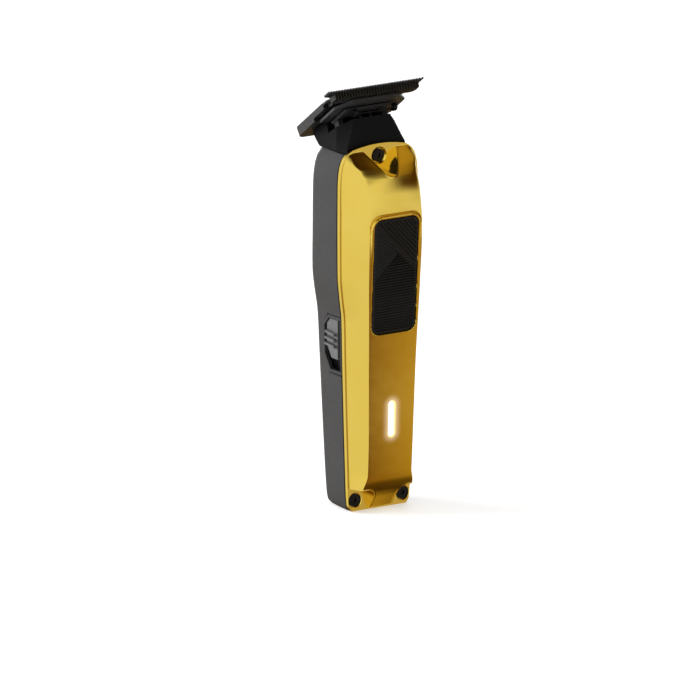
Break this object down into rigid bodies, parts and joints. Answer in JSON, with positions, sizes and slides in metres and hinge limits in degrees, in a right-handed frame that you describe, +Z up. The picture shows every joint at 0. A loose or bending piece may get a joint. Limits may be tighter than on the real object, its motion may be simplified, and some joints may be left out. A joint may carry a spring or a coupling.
{
  "type": "hair clipper",
  "caption": "Cordless T-blade hair trimmer with a faceted gold front cover, dark rear housing, ribbed thumb pad, side slide switch and driven cutter.",
  "frame": {"origin": "centre of the bounding box at the flat bottom end that the trimmer stands on", "axes": "+Z up the handle to the blade, +Y to the back (rear housing side), +X to the right as one looks at the front cover"},
  "size_m": [0.04, 0.0412, 0.1539],
  "materials": {
    "gold_cover": "glossy gold plated shell",
    "shell_grey": "matte dark grey soft-touch plastic",
    "pad_rubber": "matte black ribbed rubber",
    "light_pipe": "milky white light pipe",
    "button_grey": "satin mid grey plastic",
    "blade_steel": "black coated ground steel",
    "bright_steel": "plain steel",
    "black_screw": "black oxide steel",
    "black_plastic": "black moulded plastic",
    "bush_bronze": "sintered bronze",
    "damper_rubber": "black rubber",
    "board_green": "green solder mask",
    "cell_sleeve": "blue shrink sleeve",
    "lead_red": "red lead insulation",
    "lead_black": "black lead insulation"
  },
  "bodies": {
    "body": {"front_cover": "gold_cover", "rear_housing": "shell_grey", "head_shell": "shell_grey", "grip_pad": "pad_rubber", "light_bar": "light_pipe", "light_emitter": "light_pipe", "switch_plate": "shell_grey", "switch_body": "black_plastic", "cover_screw_top": "black_screw", "cover_screw_left": "black_screw", "cover_screw_right": "black_screw", "fixed_blade": "blade_steel", "spring_bracket": "bright_steel", "tension_spring": "bright_steel", "blade_screw_left": "black_screw", "blade_screw_right": "black_screw", "lever_pin": "bright_steel", "motor_can": "bright_steel", "motor_bush": "bush_bronze", "motor_end_cap": "black_plastic", "motor_damper": "damper_rubber", "chassis": "black_plastic", "battery_cell": "cell_sleeve", "battery_tab_bottom": "bright_steel", "battery_tab_top": "bright_steel", "circuit_board": "board_green", "board_screw_lower": "bright_steel", "board_screw_upper": "bright_steel", "charge_port": "bright_steel", "base_plug": "shell_grey", "lead_red": "lead_red", "lead_black": "lead_black"},
    "moving_blade": {"cutter": "blade_steel", "cutter_holder": "black_plastic"},
    "lever": {"drive_lever": "black_plastic"},
    "crank": {"eccentric": "bright_steel", "motor_shaft": "bright_steel"},
    "switch": {"switch_button": "button_grey"}
  },
  "joints": [
    {"name": "cutter_slide", "type": "slide", "parent": "body", "child": "moving_blade", "axis": [1, 0, 0], "range_m": [-0.0008, 0.0008]},
    {"name": "lever_rock", "type": "hinge", "parent": "body", "child": "lever", "pos_m": [0, 0.0014, 0.131], "axis": [0, 1, 0], "range_deg": [-5.6, 5.6]},
    {"name": "crank_spin", "type": "hinge", "parent": "body", "child": "crank", "pos_m": [0, 0.0014, 0.112], "axis": [0, 0, 1], "continuous": true},
    {"name": "switch_slide", "type": "slide", "parent": "body", "child": "switch", "axis": [0, 0, 1], "range_m": [-0.0036, 0]}
  ],
  "couplings": [
    {"joint": "lever_rock", "follows": "cutter_slide", "rad_per_m": 120.48}
  ]
}
